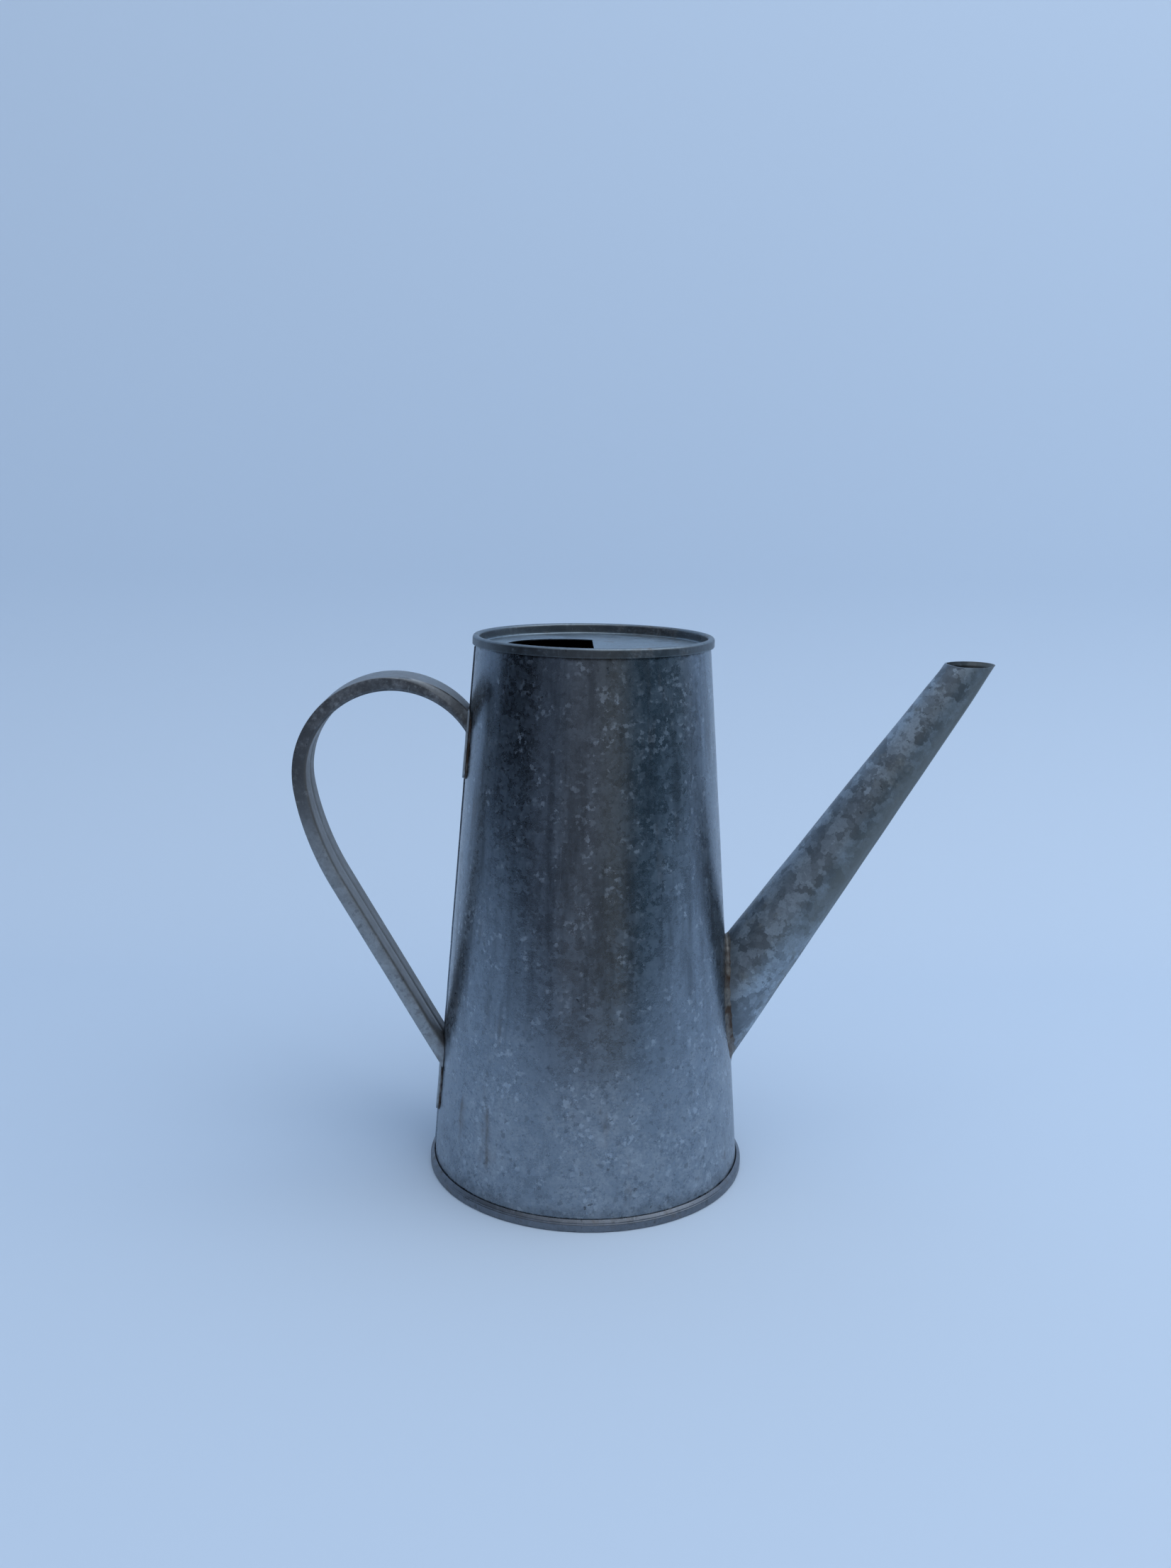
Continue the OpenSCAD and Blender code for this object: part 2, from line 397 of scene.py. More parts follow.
def make_spout_solder():
    """The soldered fillet round the spout's foot: uneven, with a hollow face."""
    count, face_steps = 160, 6
    rings = []
    for i in range(count):
        a = 2 * math.pi * i / count
        foot = spout_point(spout_meets_wall(a, 0, 0), a)
        ahead = spout_point(spout_meets_wall(a + 0.02, 0, 0), a + 0.02)
        along = (ahead - foot).normalized()
        up_spout = (spout_point(10, a) - spout_point(0, a)).normalized()
        out = Vector((foot.x, foot.y, 0)).normalized() + Vector((0, 0, math.sin(WALL_LEAN)))
        on_wall = along.cross(out).normalized()
        if on_wall.dot(foot - SPOUT_FOOT) < 0:
            on_wall = -on_wall
        uneven = 1 + 0.28 * wobble(foot.x, foot.y, foot.z, 5, 2.2)
        uneven += 0.15 * wobble(foot.x, foot.y, foot.z, 2, 9.1)
        leg_spout = 4.0 * uneven
        leg_wall = 3.4 * (2 - uneven)
        top = foot + up_spout * leg_spout
        end = foot + on_wall * leg_wall
        ring = [foot - out * 0.3 - up_spout * 0.2]
        for k in range(face_steps + 1):
            t = k / face_steps
            middle = foot + (up_spout + on_wall) * 0.42 + out * 0.1
            ring.append(end.lerp(middle, t).lerp(middle.lerp(top, t), t))
        rings.append(ring)
    return make_piece("spout_solder", *skin(rings, wrap=True), sharp=60)


# ---------------------------------------------------------------- handle

def handle_path():
    """The strap's outer face seen from the side, as stations from the upper end to the lower
    one: (point, outward direction, that direction's angle). Points are (distance from the
    can's axis, height)."""
    bend = BOW + (BOW_R - BEND_R) * Vector((math.cos(BOW_END), math.sin(BOW_END)))
    stations = []
    bow_start, bow_steps, bend_steps = math.radians(150), 72, 14
    for i in range(bow_steps + 1):
        a = bow_start + (BOW_END - bow_start) * i / bow_steps
        out = Vector((math.cos(a), math.sin(a)))
        stations.append((BOW + out * BOW_R, out, a))
    for i in range(1, bend_steps + 1):
        a = BOW_END - (LEG_LEAN + BOW_END) * i / bend_steps
        out = Vector((math.cos(a), math.sin(a)))
        stations.append((bend + out * BEND_R, out, a))
    leg_start, out = stations[-1][0], stations[-1][1]
    down = Vector((-math.sin(LEG_LEAN), -math.cos(LEG_LEAN)))
    for i in range(1, 31):
        stations.append((leg_start + down * 120 * i / 30, out, -LEG_LEAN))
    return stations


def strap_section(splay):
    """Outline of the channel: (across, height above the outer face). As splay goes from 0
    to 1 the corner opens into a sloping facet with a crease along its top."""
    half, facet = STRAP_W / 2, 3.3 * splay
    crease, inner, bend = 1.4 * splay, STRAP_T, 1.6
    edge = half - facet * 0.8                        # where the web ends and the facet begins
    round_off = 0.5 * (1 - splay) + 0.1
    one_side = [
        (0, 0), (3.3, 0), (6.2, 0), (edge - 1.9, 0),
        (edge - 1.3, 0),
        (edge - 0.8, -crease - round_off * 0.03),
        (edge - 0.15, -crease * 0.9 - round_off * 0.2),
        (edge + 0.1 * splay, -crease * 0.25 - round_off * 0.5),
        (half - 0.1 * splay, -facet - 0.35),
        (half, -facet - 0.6),
        (half, -STRAP_SIDE + bend), (half - bend * 0.12, -STRAP_SIDE + bend * 0.55),
        (half - bend * 0.4, -STRAP_SIDE + bend * 0.18),
        (half - bend, -STRAP_SIDE), (half - 4.5, -STRAP_SIDE + 0.15), (half - 8, -STRAP_SIDE + 0.05),
        (half - STRAP_LIP + 0.3, -STRAP_SIDE),
        (half - STRAP_LIP, -STRAP_SIDE + 0.2), (half - STRAP_LIP, -STRAP_SIDE + inner - 0.2),
        (half - STRAP_LIP + 0.3, -STRAP_SIDE + inner), (half - 4.5, -STRAP_SIDE + inner + 0.15),
        (half - 1.4, -STRAP_SIDE + inner + 0.1),
        (half - inner, -STRAP_SIDE + inner + 0.7), (half - inner, -facet * 0.7 - 1.4),
        (half - facet - 2.2, -inner), (4.5, -inner),
    ]
    other_side = [(-across, height) for across, height in reversed(one_side[1:])]
    return one_side + [(0, -inner)] + other_side


def make_handle():
    """The strap handle: a channel whose lips nearly meet along its inner side, mitred to the
    wall at both ends."""
    rings = []
    for point, out, a in handle_path():
        splay = smoothstep(math.radians(78), math.radians(140), a) if a > 0 else 0.0
        ring = []
        for across, height in strap_section(splay):
            r = point.x + out.x * height
            z = point.y + out.y * height
            r += 0.12 * wobble(point.x, across * 0.4, point.y, 19, 3.3)
            side = across + 0.15 * wobble(point.x, 0, point.y, 30, 6.6)
            ring.append(Vector((-r, side, z)))
        rings.append(ring)
    handle = make_piece("handle", *skin(rings), sharp=38)
    gap = 0.25
    core = [[Vector(((wall_radius(z) + gap) * math.cos(2 * math.pi * i / 240),
                     (wall_radius(z) + gap) * math.sin(2 * math.pi * i / 240), z))
             for i in range(240)] for z in (-5, HEIGHT + 5)]
    return combine(handle, make_piece("wall_core", *skin(core)), "DIFFERENCE", sharp=38)


def on_back(across, z, off):
    """Point over the back of the wall, for something nearly flat that lies against it."""
    r = wall_radius(z) + LOCK_OUT + 0.05 + off - across ** 2 / (2 * 88.0)
    return Vector((-r, across, z))


def make_tab(name, z_top, z_low):
    """A tab of the strap, flattened to the wall, with rounded lower corners."""
    corner, rows, columns = 4.5, 34, 16
    rings = []
    for i in range(rows + 1):
        z = z_top + (z_low - z_top) * (i / rows) ** 0.8
        above_end = z - z_low
        half = STRAP_W / 2
        if above_end < corner:
            half -= corner - math.sqrt(max(corner ** 2 - (corner - above_end) ** 2, 0.0))
        columns_at = [half * math.sin(math.pi / 2 * (2 * j / columns - 1))
                      for j in range(columns + 1)]
        curl = 0.12 * wobble(0, 0, z, 11, z_low)
        face = [on_back(c, z, STRAP_T + curl) for c in columns_at]
        back = [on_back(c, z, curl) for c in columns_at]
        rings.append(face + back[::-1])
    return make_piece(name, *skin(rings), sharp=50)


def bead(name, path, radius, lumps=0.3, grain=3.0):
    """A lumpy run of solder along a line of (point, outward direction)."""
    rings, around = [], 10
    for i, (p, out) in enumerate(path):
        along = (path[min(i + 1, len(path) - 1)][0] - path[max(i - 1, 0)][0]).normalized()
        side = along.cross(out).normalized()
        up = side.cross(along).normalized()
        ends = math.sin(math.pi * min(max((i + 0.35) / len(path), 0), 1))
        swell = min(1.0, ends * 6) * (1 + lumps * wobble(p.x, p.y, p.z, grain, radius[0]))
        ring = []
        for k in range(around):
            a = 2 * math.pi * k / around
            ring.append(p + (side * math.cos(a) * radius[0] + up * math.sin(a) * radius[1]) * swell)
        rings.append(ring)
    return make_piece(name, *skin(rings), sharp=70)


def tab_solder_path(z_top, z_low):
    """Round a tab's two long edges and its lower end, on the wall."""
    half, corner = STRAP_W / 2 - 0.4, 4.3
    outline = [(-half, z_top)]
    outline += [(-half, z_top + (z_low + corner - z_top) * i / 18) for i in range(1, 19)]
    for i in range(1, 9):
        a = math.pi + math.pi / 2 * i / 8
        outline.append((-half + corner + corner * math.cos(a), z_low + corner + corner * math.sin(a)))
    outline += [(x, z_low) for x in (-5, -2.5, 0, 2.5, 5)]
    mirrored = [(-x, z) for x, z in reversed(outline[:-5])]
    path = []
    for across, z in outline + mirrored:
        r = wall_radius(z)
        lift = 0.35 + (0.5 if abs(across) < LOCK_W / 2 + 1 else 0)
        out = Vector((-math.sqrt(r * r - across * across), across, 0)).normalized()
        path.append((Vector((0, 0, z)) + out * (r + lift), out))
    return path


def make_tab_bead(name, z_top, z_low):
    """The solder round a tab's edges."""
    return bead(name, tab_solder_path(z_top, z_low), (0.6, 0.6))


def make_side_seam_bead():
    """The sealing bead inside the wall, along the lock seam."""
    first, spacing, count = 8.0, 2.0, 124
    heights = [first + spacing * i for i in range(count)]
    path = [(Vector((-(wall_radius(z) - SHEET - 0.1), 0, z)), Vector((1, 0, 0))) for z in heights]
    return bead("side_seam_bead", path, (2.5, 0.7), lumps=0.2, grain=6.0)


def make_spout_seam_bead():
    """The bead along the spout's lap seam, clear of the wall and of the mouth."""
    first, spacing, count = -8.0, 2.0, 100
    path = []
    for i in range(count):
        p = spout_point(first + spacing * i, math.pi - 0.02)
        if p.z < MOUTH_Z - 1.5 and math.hypot(p.x, p.y) > wall_radius(p.z) + 3:
            path.append((p, -SPOUT_UP))
    return bead("spout_seam_bead", path, (1.1, 0.45), lumps=0.3, grain=4.0)


def make_base_bead():
    """The sealing fillet inside, in the corner between the base plate and the wall."""
    z0 = PLATE_Z + SHEET / 2 + 0.02
    edge = wall_radius(z0) - SHEET - 0.05
    outline = [(edge - 2.3, z0), (edge - 0.1, z0), (edge - 0.2, z0 + 2.2),
               (edge - 0.6, z0 + 1.1), (edge - 1.2, z0 + 0.5)]

    def lumpy(a, r, z):
        if r > edge - 0.3:
            return 0.0
        return -0.25 * abs(wobble(r * math.cos(a), r * math.sin(a), z, 6, 1.1))

    return make_piece("base_bead", *skin(lathe(outline, 240, lumpy), wrap=True), sharp=60)


# ---------------------------------------------------------------- materials

SMOOTH = {"interpolation_type": "SMOOTHSTEP"}      # a soft-edged step between two values


def linear(hex_colour):
    """An sRGB hex colour as linear RGBA."""
    channels = [int(hex_colour[i:i + 2], 16) / 255 for i in (1, 3, 5)]
    return [c / 12.92 if c <= 0.04045 else ((c + 0.055) / 1.055) ** 2.4 for c in channels] + [1.0]


def shade(colour, amount):
    """The colour made lighter or darker by a factor."""
    return [min(c * amount, 1.0) for c in colour[:3]] + [1.0]


def feed(tree, node, inputs):
    """Gives a node its inputs. Each one is a value or another node's result."""
    for socket, value in inputs.items():
        if isinstance(value, bpy.types.NodeSocket):
            tree.links.new(value, node.inputs[socket])
        else:
            node.inputs[socket].default_value = value


def add(tree, kind, inputs, result=0, **settings):
    """Adds a node with its settings and links, and gives one of its results."""
    node = tree.nodes.new("ShaderNode" + kind)
    for name, value in settings.items():
        setattr(node, name, value)
    feed(tree, node, inputs)
    return node.outputs[result]


def start_material(name):
    """A new material, and the function that adds nodes to it."""
    material = bpy.data.materials.new(name)
    material.use_nodes = True
    return material, partial(add, material.node_tree)


def set_surface(material, inputs):
    """Feeds the material's surface, and gives back the material."""
    feed(material.node_tree, material.node_tree.nodes["Principled BSDF"], inputs)
    return material


def ragged(node, zinc, value, depth):
    """A distance or height made uneven by the zinc's clouds, so that what follows it has a
    ragged edge of the given depth."""
    centred = node("Math", {0: zinc["medium"], 1: 0.5}, operation="SUBTRACT")
    return node("Math", {0: centred, 1: depth, 2: value}, operation="MULTIPLY_ADD")


def coat(node, tone, colour, patches, strength):
    """Lays a colour over the tone in patches, at a strength."""
    share = node("Math", {0: patches, 1: strength}, operation="MULTIPLY")
    return node("Mix", {0: share, 6: tone, 7: colour}, 2, data_type="RGBA")


def crystals(node, place, size):
    """The zinc's crystals: each one has its own tone and gloss, and a frayed edge. Gives each
    one's random colour, and the frayed places that make the edge."""
    fray = node("TexNoise", {"Vector": place, "Scale": 1 / (size * 0.4), "Detail": 4.0}, "Color")
    centred = node("VectorMath", {0: fray, 1: (0.5, 0.5, 0.5)}, operation="SUBTRACT")
    frayed = node("VectorMath", {0: centred, 1: (size * 1.2,) * 3, 2: place}, operation="MULTIPLY_ADD")
    return node("TexVoronoi", {"Vector": frayed, "Scale": 1 / size}, "Color"), frayed


def zinc_patterns(node, spangle, grain):
    """The places and patterns that every layer of the zinc's finish is made from, in mm. The
    spangle is 5 to 9 mm across, as on hot-dip sheet. The grain inside it is finer on real
    sheet, and is drawn at 1.8 to 3.5 mm so that it shows."""
    metres = node("TexCoord", {}, "Object")
    place = node("VectorMath", {0: metres, 1: (1 / MM,) * 3}, operation="MULTIPLY")
    height = node("SeparateXYZ", {0: place}, "Z")
    large, frayed = crystals(node, place, spangle)
    small, _ = crystals(node, place, grain)
    # distance from the can's axis, as it would be at the floor
    flat = node("VectorMath", {0: place, 1: (1, 1, 0)}, operation="MULTIPLY")
    radius = node("VectorMath", {0: flat}, "Value", operation="LENGTH")
    radius = node("Math", {0: height, 1: math.tan(WALL_LEAN), 2: radius}, operation="MULTIPLY_ADD")
    return {
        "place": place, "height": height, "radius": radius,
        "faces": node("TexCoord", {}, "Normal"),
        # rain draws a pattern out downwards
        "drawn": node("VectorMath", {0: place, 1: (1, 1, 0.1)}, operation="MULTIPLY"),
        "frayed": frayed,
        "large": node("SeparateColor", {0: large}, "Red"),
        "small": node("SeparateColor", {0: small}, "Red"),
        "bright_grain": node("SeparateColor", {0: small}, "Green"),
        "dark_grain": node("SeparateColor", {0: small}, "Blue"),
        # etching of the surface, clouds of bloom, and patches of weather
        "fine": node("TexNoise", {"Vector": place, "Scale": 1 / 1.3, "Detail": 6.0, "Roughness": 0.7}),
        "medium": node("TexNoise", {"Vector": place, "Scale": 1 / 6.5, "Detail": 6.0, "Roughness": 0.66}),
        "broad": node("TexNoise", {"Vector": place, "Scale": 1 / 34, "Detail": 4.0, "Roughness": 0.55}),
    }


def tarnish_above(node, zinc, tone, low, high, strength, colour):
    """Tarnish that sets in between two heights, and less so on the faces that rain and hands
    keep clean."""
    uneven = ragged(node, zinc, zinc["height"], (high - low) * 0.5)
    rising = node("MapRange", {0: uneven, 1: low, 2: high, 4: strength}, **SMOOTH)
    upward = node("SeparateXYZ", {0: zinc["faces"]}, "Z")
    kept = node("MapRange", {0: upward, 1: 0.25, 2: 0.6, 3: 1.0, 4: 0.5}, **SMOOTH)
    return coat(node, tone, colour, rising, kept)


def seam_dirt_and_shade(node, zinc, tone, seam_z, reach, strength):
    """Dirt that lodges along a folded seam at one height. Under the rim's folded band the same dark line is
    painted shade, where the band stands out over the wall.
    """
    above = node("Math", {0: zinc["height"], 1: seam_z}, operation="SUBTRACT")
    away = node("Math", {0: above}, operation="ABSOLUTE")
    uneven = ragged(node, zinc, away, reach * 2.2)
    darkened_band = node("MapRange", {0: uneven, 1: reach, 2: 0.0}, **SMOOTH)
    return coat(node, tone, linear("#2b2825"), darkened_band, strength)


def shaded_inside_can(node, zinc, tone):
    """Painted shade: the inside of the wall is made nearly black, for the shade inside the can."""
    within = node("MapRange", {0: zinc["radius"], 1: BASE_R - 0.2, 2: BASE_R - 0.4}, **SMOOTH)
    return coat(node, tone, linear("#232426"), within, 0.9)


def tanned_underside(node, zinc, tone, colour):
    """The spout's underside keeps the wet longest, and has gone tan well above its foot."""
    above = node("VectorMath", {0: zinc["place"], 1: SPOUT_UP}, "Value", operation="DOT_PRODUCT")
    axis_at = SPOUT_FOOT.dot(SPOUT_UP)
    below = node("MapRange", {0: ragged(node, zinc, above, 16), 1: axis_at + 7, 2: axis_at - 9, 4: 0.85},
                 **SMOOTH)
    higher = node("MapRange", {0: zinc["height"], 1: 95, 2: 150}, **SMOOTH)
    return coat(node, tone, colour, below, higher)


def shaded_bore(node, zinc, tone):
    """Painted shade: the spout's inside, where its faces look towards its axis, is made dark from just below
    the lip down.
    """
    from_foot = node("VectorMath", {0: zinc["place"], 1: SPOUT_FOOT}, operation="SUBTRACT")
    along = node("VectorMath", {0: from_foot, 1: SPOUT_AXIS}, operation="PROJECT")
    off_axis = node("VectorMath", {0: from_foot, 1: along}, operation="SUBTRACT")
    outwards = node("VectorMath", {0: off_axis, 1: zinc["faces"]}, "Value", operation="DOT_PRODUCT")
    within = node("MapRange", {0: outwards, 1: -1.0, 2: -4.0, 4: 0.9}, **SMOOTH)
    below_lip = node("MapRange", {0: zinc["height"], 1: MOUTH_Z - 1.2, 2: MOUTH_Z - 2.4}, **SMOOTH)
    return coat(node, tone, linear("#202224"), within, below_lip)


def darker_by_wall(node, zinc, tone):
    """The spout is made darker round its foot, within about 10 mm of the wall."""
    near = node("MapRange", {0: ragged(node, zinc, zinc["radius"], 18), 1: BASE_R + 10, 2: BASE_R + 2},
                **SMOOTH)
    return coat(node, tone, linear("#33383c"), near, 0.35)


def galvanised(name, clean, bloom, stain, spangle, grain=1.8, spangle_contrast=0.1, bloom_share=0.3,
               low_bloom_and_pale_reflection=0.0, stain_share=0.05, streaks=0.0, flecks=0.6, roughness=0.4, metal=0.93,
               wear=(), handled=0.0, dirt_and_shade_layers=()):
    """Hot-dip galvanised sheet that has weathered outdoors: bright zinc gone dull, with the
    spangle of the zinc crystals, white-grey bloom where it stayed damp, and brown stains.
    The eye gets a soft metallic sheen from the clean zinc and a chalky one from the bloom.
    Wear, grime and painted shade are layers, each a function and its amounts. Sizes are in mm."""
    material, node = start_material(name)
    zinc = zinc_patterns(node, spangle, grain)
    place, height, drawn = zinc["place"], zinc["height"], zinc["drawn"]
    fine, medium, broad = zinc["fine"], zinc["medium"], zinc["broad"]
    fine_centred = node("Math", {0: fine, 1: 0.5}, operation="SUBTRACT")
    broad_centred = node("Math", {0: broad, 1: 0.5}, operation="SUBTRACT")

    # clean zinc: crystals of two sizes, darker in its finest grain
    flake = node("Math", {0: zinc["large"], 1: 0.55}, operation="MULTIPLY")
    flake = node("Math", {0: zinc["small"], 1: 0.45, 2: flake}, operation="MULTIPLY_ADD")
    lit = node("MapRange", {0: flake, 1: 0.15, 2: 0.85}, **SMOOTH)
    dim, bright = shade(clean, 1 - spangle_contrast), shade(clean, 1 + spangle_contrast)
    tone = coat(node, dim, bright, lit, 1.0)
    grained = node("MapRange", {0: fine, 1: 0.4, 2: 0.7}, **SMOOTH)
    tone = coat(node, tone, shade(clean, 0.6), grained, 0.3)

    for layer, *amounts in wear:
        tone = layer(node, zinc, tone, *amounts)
    # browned and dulled by fingers on the faces that look towards the can
    towards_can = node("SeparateXYZ", {0: zinc["faces"]}, "X")
    fingered = node("MapRange", {0: towards_can, 1: 0.3, 2: 0.75, 4: handled}, **SMOOTH)
    tone = coat(node, tone, linear("#6d6a66"), fingered, 1.0)

    # bloom gathers in clouds, with more of it low on the wall: partly where the can stands in the damp, and
    # partly a painted reflection of the pale floor
    cloud = node("Math", {0: medium, 1: 0.45}, operation="MULTIPLY")
    cloud = node("Math", {0: fine, 1: 0.55, 2: cloud}, operation="MULTIPLY_ADD")
    cloud = node("Math", {0: broad_centred, 1: 0.35, 2: cloud}, operation="MULTIPLY_ADD")
    damp = node("MapRange", {0: height, 1: 120, 2: 40, 4: low_bloom_and_pale_reflection}, **SMOOTH)
    cloud = node("Math", {0: cloud, 1: damp}, operation="ADD")
    thinnest, thickest = 0.60 - bloom_share * 0.3, 0.86 - bloom_share * 0.3
    bloomed = node("MapRange", {0: cloud, 1: thinnest, 2: thickest}, **SMOOTH)
    tone = coat(node, tone, bloom, bloomed, 1.0)

    # pale flecks in dull patches, and dark specks all over
    dull = node("TexNoise", {"Vector": place, "Scale": 1 / 11, "Detail": 3.0, "Roughness": 0.6})
    patch = node("Math", {0: broad_centred, 1: 0.5, 2: dull}, operation="MULTIPLY_ADD")
    patch = node("MapRange", {0: patch, 1: 0.44, 2: 0.62}, **SMOOTH)
    spots = node("TexNoise", {"Vector": place, "Scale": 1 / 2.6, "Detail": 5.0, "Roughness": 0.72})
    spots = node("MapRange", {0: spots, 1: 0.58, 2: 0.68}, **SMOOTH)
    grains = node("MapRange", {0: zinc["bright_grain"], 1: 0.86, 2: 0.93}, **SMOOTH)
    fleck = node("Math", {0: grains, 1: spots}, operation="MAXIMUM")
    fleck = node("Math", {0: fleck, 1: patch}, operation="MULTIPLY")
    tone = coat(node, tone, shade(bloom, 1.25), fleck, flecks)
    specks = node("TexNoise", {"Vector": place, "Scale": 1 / 1.9, "Detail": 4.0, "Roughness": 0.7})
    specks = node("MapRange", {0: specks, 1: 0.42, 2: 0.34}, **SMOOTH)
    grains = node("MapRange", {0: zinc["dark_grain"], 1: 0.05, 2: 0.02}, **SMOOTH)
    speck = node("Math", {0: grains, 1: specks}, operation="MAXIMUM")
    tone = coat(node, tone, shade(clean, 0.45), speck, 0.45)

    # brown stains, which rain has drawn downwards where there are streaks
    run = node("TexNoise", {"Vector": drawn, "Scale": 1 / 7, "Detail": 5.0, "Roughness": 0.6})
    stain_cloud = node("Math", {0: broad, 1: run if streaks else medium}, operation="ADD")
    stain_cloud = node("Math", {0: stain_cloud, 1: 0.5}, operation="MULTIPLY")
    thinnest, thickest = 0.58 - stain_share * 0.2, 0.74 - stain_share * 0.2
    stained = node("MapRange", {0: stain_cloud, 1: thinnest, 2: thickest, 4: 0.75}, **SMOOTH)
    tone = coat(node, tone, stain, stained, 1.0)
    # darker streaks on the upper wall: partly rain marks, and partly a painted reflection of the dark room
    # in front
    wet = node("MapRange", {0: run, 1: 0.44, 2: 0.68, 4: streaks}, **SMOOTH)
    upper_wall = node("MapRange", {0: height, 1: 60, 2: 120}, **SMOOTH)
    tone = coat(node, tone, shade(clean, 0.5), wet, upper_wall)

    # small dark pits, in places
    pits = node("TexVoronoi", {"Vector": zinc["frayed"], "Scale": 1 / 8}, "Distance")
    pits = node("MapRange", {0: pits, 1: 0.12, 2: 0.06}, **SMOOTH)
    where = node("TexNoise", {"Vector": place, "Scale": 1 / 23, "Detail": 2.0, "Roughness": 0.6})
    where = node("MapRange", {0: where, 1: 0.5, 2: 0.62}, **SMOOTH)
    pitted = node("Math", {0: pits, 1: where}, operation="MULTIPLY")
    tone = coat(node, tone, linear("#262626"), pitted, 0.6)

    # short bright scratches: thin lines along which a stretched pattern crosses its middle
    line = node("TexNoise", {"Vector": drawn, "Scale": 1 / 14, "Detail": 1.0, "Roughness": 0.4,
                             "Distortion": 1.5})
    line = node("Math", {0: line, 1: 0.5}, operation="SUBTRACT")
    near_edge = node("MapRange", {0: line, 1: 0.0008, 2: 0.0025}, **SMOOTH)
    far_edge = node("MapRange", {0: line, 1: 0.0075, 2: 0.004}, **SMOOTH)
    where = node("MapRange", {0: dull, 1: 0.58, 2: 0.68}, **SMOOTH)
    scratched = node("Math", {0: near_edge, 1: far_edge}, operation="MULTIPLY")
    scratched = node("Math", {0: scratched, 1: where}, operation="MULTIPLY")
    tone = coat(node, tone, shade(bloom, 1.4), scratched, 0.6)

    # grime, and painted shade in recesses and under the rim
    for layer, *amounts in dirt_and_shade_layers:
        tone = layer(node, zinc, tone, *amounts)

    # each crystal has its own gloss, and bloom and stains are duller than clean zinc
    gloss = node("MapRange", {0: flake, 3: -0.06, 4: 0.06}, **SMOOTH)
    gloss = node("Math", {0: fine_centred, 1: 0.2, 2: gloss}, operation="MULTIPLY_ADD")
    chalk = node("MapRange", {0: bloomed, 3: roughness, 4: roughness + 0.18}, **SMOOTH)
    gloss = node("Math", {0: gloss, 1: chalk}, operation="ADD")
    gloss = node("Math", {0: stained, 1: 0.12, 2: gloss}, operation="MULTIPLY_ADD")
    shine = node("MapRange", {0: bloomed, 3: metal, 4: metal - 0.2}, **SMOOTH)
    for cover, loss in ((stained, 0.25), (fleck, 0.3 * flecks), (fingered, 0.4)):
        shine = node("Math", {0: cover, 1: -loss, 2: shine}, operation="MULTIPLY_ADD")

    relief = node("Math", {0: fine, 1: 0.04}, operation="MULTIPLY")
    for pattern, depth in ((medium, 0.08), (zinc["large"], 0.01), (pitted, -0.06)):
        relief = node("Math", {0: pattern, 1: depth, 2: relief}, operation="MULTIPLY_ADD")
    bump = node("Bump", {"Height": relief, "Strength": 1.0, "Distance": MM})
    return set_surface(material, {"Base Color": tone, "Roughness": gloss, "Metallic": shine, "Normal": bump})


def soft_solder():
    """Tin-lead solder wiped on with an iron: dull, lumpy, greyer than the zinc, with brown flux
    left in its hollows."""
    material, node = start_material("soft_solder")
    metres = node("TexCoord", {}, "Object")
    place = node("VectorMath", {0: metres, 1: (1 / MM,) * 3}, operation="MULTIPLY")
    lumps = node("TexNoise", {"Vector": place, "Scale": 1 / 2.4, "Detail": 5.0, "Roughness": 0.65})
    raised = node("MapRange", {0: lumps, 1: 0.3, 2: 0.72})
    tone = coat(node, linear("#4a4b4d"), linear("#8d8a84"), raised, 1.0)
    flux = node("TexNoise", {"Vector": place, "Scale": 1 / 7, "Detail": 4.0})
    browned = node("MapRange", {0: flux, 1: 0.42, 2: 0.6})
    tone = coat(node, tone, linear("#4a3b30"), browned, 1.0)
    bump = node("Bump", {"Height": lumps, "Distance": 0.25 * MM})
    return set_surface(material, {"Base Color": tone, "Roughness": 0.55, "Metallic": 0.6, "Normal": bump})


def plain(name, colour, glow=0.0):
    """Matt cloth of one colour. With glow it shines by itself and shows no shading."""
    material, _ = start_material(name)
    set_surface(material, {"Base Color": (0, 0, 0, 1) if glow else colour, "Roughness": 0.9,
                           "Specular IOR Level": 0.2})
    if glow:
        set_surface(material, {"Emission Color": colour, "Emission Strength": glow})
    return material


# ---------------------------------------------------------------- finishes of the can's sheets

brown = linear("#5f554c")
deck_stain, spout_stain, handle_stain = linear("#66605b"), linear("#71746f"), linear("#7b7d80")
TARNISH = 0.45                                     # how dark tarnish is beside the stain

wall_zinc = galvanised("weathered_wall_zinc", linear("#818b95"), linear("#9da7b1"), brown, 5.0,
                       # lighter low down and darker up high: partly weathering, and partly painted
                       # reflection of the pale floor and the dark room
                       spangle_contrast=0.14, bloom_share=0.2, low_bloom_and_pale_reflection=0.14, streaks=0.65,
                       flecks=0.55, roughness=0.29, metal=0.98,
                       dirt_and_shade_layers=[(seam_dirt_and_shade, BASE_FOLD + 1.0, 6.0, 0.25),
                             # painted shade: a near-black line on the wall just under the rim's folded band
                             (seam_dirt_and_shade, HEIGHT - RIM_FOLD, 1.6, 0.8),
                             # painted shade on the inside of the wall
                             (shaded_inside_can,)])
deck_zinc = galvanised("weathered_deck_zinc", linear("#8e9da7"), linear("#9ca8b0"), deck_stain, 9.0,
                       stain_share=0.3, flecks=0.1,
                       wear=[(tarnish_above, DECK_Z, DECK_Z + 1.5, 0.65, shade(deck_stain, TARNISH))])
base_zinc = galvanised("weathered_base_zinc", linear("#777d85"), linear("#888f96"), brown, 5.0,
                       stain_share=0.35, flecks=0.2)
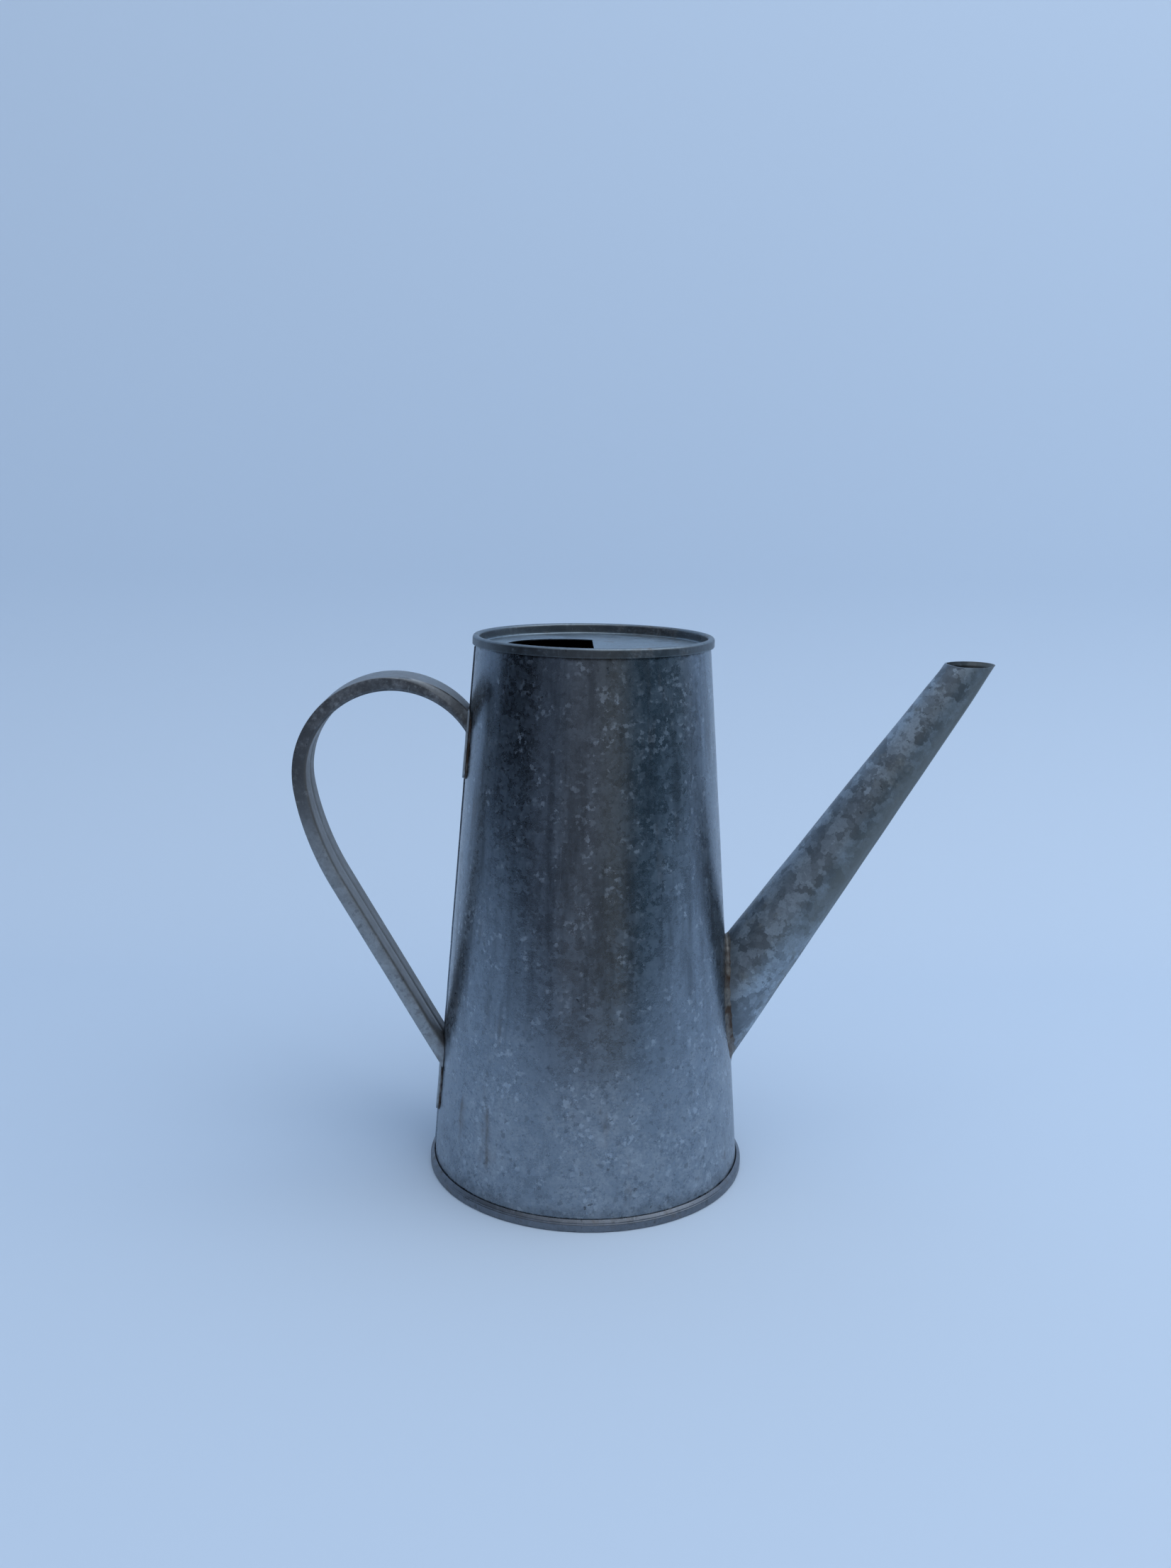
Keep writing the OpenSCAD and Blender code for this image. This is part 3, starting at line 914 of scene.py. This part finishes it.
spout_zinc = galvanised("weathered_spout_zinc", linear("#8c98a2"), linear("#9aa5ab"), spout_stain, 9.0, 3.5,
                        spangle_contrast=0.4, stain_share=0.35, flecks=0.2, roughness=0.46, metal=0.75,
                        # the second layer here is painted shade inside the spout, below its lip
                        dirt_and_shade_layers=[(tanned_underside, shade(spout_stain, 0.75)), (shaded_bore,), (darker_by_wall,)])
handle_zinc = galvanised("weathered_handle_zinc", linear("#a4acb2"), linear("#b0b7bb"), handle_stain, 7.0,
                         stain_share=0.5, flecks=0.15, roughness=0.44, metal=0.75, handled=0.8,
                         wear=[(tarnish_above, 150, 200, 0.92, shade(handle_stain, TARNISH))])
tab_zinc = galvanised("weathered_tab_zinc", linear("#a4acb2"), linear("#b0b7bb"), handle_stain, 7.0,
                      stain_share=0.4, flecks=0.15, roughness=0.46, metal=0.7)
solder = soft_solder()


# ---------------------------------------------------------------- build the can

def fit(piece, node, material):
    """Gives a piece its finish and puts it in the frame, in place of a CAD node."""
    piece.data.materials.clear()
    piece.data.materials.append(material)
    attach(piece, "root")
    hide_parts(node)


RUN_OUT = 2.0                                      # how far the solder runs out below a tab
UPPER_TOP = 229.5                                  # where the upper tab goes under the bow
UPPER_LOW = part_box("upper_tab_solder")[0].z / MM + RUN_OUT
LOWER_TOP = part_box("lower_tab_solder")[1].z / MM
LOWER_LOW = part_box("lower_tab_solder")[0].z / MM + RUN_OUT

fit(make_wall(), "body_shell", wall_zinc)
fit(make_deck(), "top_deck", deck_zinc)
fit(make_base(), "base_plate", base_zinc)
fit(make_spout(), "spout_tube", spout_zinc)
fit(make_spout_solder(), "spout_joint_solder", solder)
fit(make_handle(), "handle_strap", handle_zinc)
fit(make_tab("upper_tab", UPPER_TOP, UPPER_LOW), "handle_strap", tab_zinc)
fit(make_tab("lower_tab", LOWER_TOP, LOWER_LOW), "handle_strap", tab_zinc)
fit(make_tab_bead("upper_tab_bead", UPPER_TOP - 3, UPPER_LOW), "upper_tab_solder", solder)
fit(make_tab_bead("lower_tab_bead", LOWER_TOP - 5, LOWER_LOW), "lower_tab_solder", solder)
fit(make_side_seam_bead(), "side_seam_solder", solder)
fit(make_spout_seam_bead(), "spout_seam_solder", solder)
fit(make_base_bead(), "base_seam_solder", solder)


# ---------------------------------------------------------------- stage, light and camera

def make_backdrop():
    """A pale cloth laid out under the can and swept up behind it in a wide curve."""
    front, back, top, bend, half, steps = -700, 520, 2600, 260, 2600, 24
    line = [(front, 0.0)]
    for i in range(steps + 1):
        a = math.pi / 2 * i / steps
        line.append((back - bend + bend * math.sin(a), bend - bend * math.cos(a)))
    line.append((back, top))
    points = [(x, y, z) for y, z in line for x in (-half, half)]
    faces = [(2 * i, 2 * i + 1, 2 * i + 3, 2 * i + 2) for i in range(len(line) - 1)]
    backdrop = make_piece("backdrop", points, faces)
    backdrop.data.materials.append(plain("pale_cloth", linear("#cfdeed")))


def make_screen(name, start, end, top, colour):
    """An upright screen from one spot on the floor to another, which only reflections see. The
    screens are the dark room in front of the can, past the end of the cloth, and the wall
    mirrors them as its dark middle."""
    (x0, y0), (x1, y1) = start, end
    screen = make_piece(name, [(x0, y0, 0.5), (x1, y1, 0.5), (x1, y1, top), (x0, y0, top)], [(0, 1, 2, 3)])
    screen.data.materials.append(plain(name + "_cloth", colour, glow=1.0))
    screen.visible_camera = False
    screen.visible_diffuse = False
    screen.visible_shadow = False
    screen.visible_transmission = False


def make_light(name, position, size, power, colour):
    lamp = bpy.data.lights.new(name, "AREA")
    lamp.energy = power
    lamp.size = size
    lamp.color = colour
    light = bpy.data.objects.new(name, lamp)
    light.location = position
    aim = Vector((0, 0, 0.12)) - Vector(position)
    light.rotation_euler = aim.to_track_quat("-Z", "Y").to_euler()
    bpy.context.scene.collection.objects.link(light)


def make_camera():
    """The camera looks a little down on the can, from 0.67 m away."""
    yaw, pitch, roll = math.radians(1.26), math.radians(12.09), math.radians(0.87)
    forward = Vector((math.sin(yaw) * math.cos(pitch), math.cos(yaw) * math.cos(pitch), -math.sin(pitch)))
    right = Vector((math.cos(yaw), -math.sin(yaw), 0))
    up = right.cross(forward)
    right, up = right * math.cos(roll) + up * math.sin(roll), up * math.cos(roll) - right * math.sin(roll)
    turn = Matrix((right, up, -forward)).transposed().to_4x4()
    camera = bpy.data.objects.new("camera", bpy.data.cameras.new("camera"))
    camera.matrix_world = Matrix.Translation((-0.0175, -0.6684, 0.3362)) @ turn
    camera.data.lens = 32.55
    camera.data.sensor_width = 36
    bpy.context.scene.collection.objects.link(camera)
    bpy.context.scene.camera = camera


def make_sky():
    """The even light of an overcast day."""
    world = bpy.data.worlds.new("overcast")
    bpy.context.scene.world = world
    world.use_nodes = True
    background = world.node_tree.nodes["Background"]
    feed(world.node_tree, background, {"Color": linear("#c4d2e6"), "Strength": 0.78})


CLOTH_END = -350                                   # where the cloth stops in front of the can
SIDE = 1000                                        # how far to each side the room's walls stand
ROOM_TOP = 800
make_backdrop()
for name, start, end, colour in (("far_left", -SIDE, -430, "#070c18"), ("near_left", -430, -150, "#5f6878"),
                                 ("middle", -150, 40, "#767a84"), ("warm_right", 40, 190, "#787a7c"),
                                 ("far_right", 190, SIDE, "#41596a")):
    make_screen(name, (start, CLOTH_END), (end, CLOTH_END), ROOM_TOP, linear(colour))
make_screen("left_side", (-SIDE, CLOTH_END), (-SIDE, 150), 1200, linear("#070c18"))
make_screen("right_side", (SIDE, CLOTH_END), (SIDE, 60), 420, linear("#4f6575"))

make_sky()
make_light("sky_panel", (0.7, -0.4, 1.7), 2.2, 20, linear("#eaf0f9")[:3])
make_camera()
bpy.context.scene.view_settings.view_transform = "Standard"
